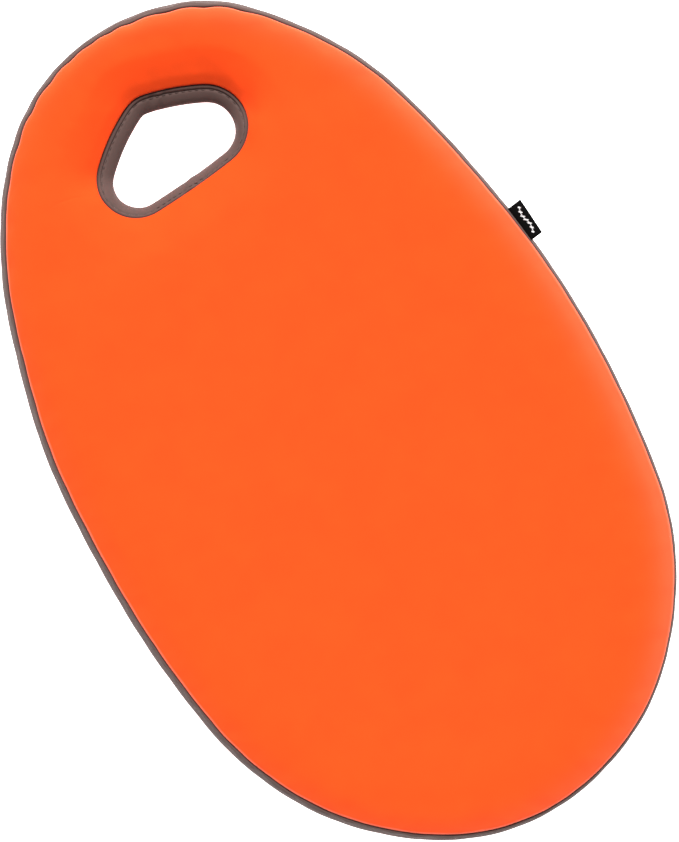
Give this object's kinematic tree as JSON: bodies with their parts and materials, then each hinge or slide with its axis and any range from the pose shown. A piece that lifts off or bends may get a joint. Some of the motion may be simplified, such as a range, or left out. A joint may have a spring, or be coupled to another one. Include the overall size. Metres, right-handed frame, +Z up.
{
  "type": "kneeling pad",
  "caption": "Egg-shaped padded kneeler with a hand hole through its narrow end: layered foam in a sewn stretch cloth cover with a side band and a small folded label.",
  "frame": {"origin": "middle of the underside's flat rest face, half-way along the pad's length", "axes": "+X across the pad towards the label, +Y along the pad towards the narrow end with the hand hole, +Z up out of the kneeling face"},
  "size_m": [0.2811, 0.46, 0.04],
  "materials": {
    "orange_cloth": "fine knit face of a foam-backed stretch cloth, soft matt",
    "band_cloth": "fine knit face of a foam-backed stretch cloth, soft matt",
    "memory_foam": "open-celled soft foam",
    "eva_foam": "closed-cell firm foam, cut faces",
    "glue": "dried contact adhesive",
    "seam_thread": "twisted polyester thread",
    "topstitch_thread": "twisted polyester thread",
    "label_tape": "woven satin ribbon"
  },
  "bodies": {
    "pad": {"top_panel": "orange_cloth", "bottom_panel": "orange_cloth", "edge_band": "band_cloth", "handle_band": "band_cloth", "upper_memory_foam": "memory_foam", "lower_memory_foam": "memory_foam", "eva_core": "eva_foam", "upper_glue_film": "glue", "lower_glue_film": "glue", "upper_edge_seam_thread": "seam_thread", "lower_edge_seam_thread": "seam_thread", "upper_handle_seam_thread": "seam_thread", "lower_handle_seam_thread": "seam_thread", "edge_band_join_thread": "seam_thread", "handle_band_join_thread": "seam_thread", "upper_handle_topstitch": "topstitch_thread", "lower_handle_topstitch": "topstitch_thread", "label_tail": "label_tape"},
    "label": {"label_flap": "label_tape"}
  },
  "joints": [
    {"name": "label_bend", "type": "hinge", "parent": "pad", "child": "label", "pos_m": [0.13479, 0.0376, 0.03323], "axis": [-0.1197, 0.9928, 0], "range_deg": [-75, 75], "stiffness_Nm_per_rad": 0.0001}
  ]
}
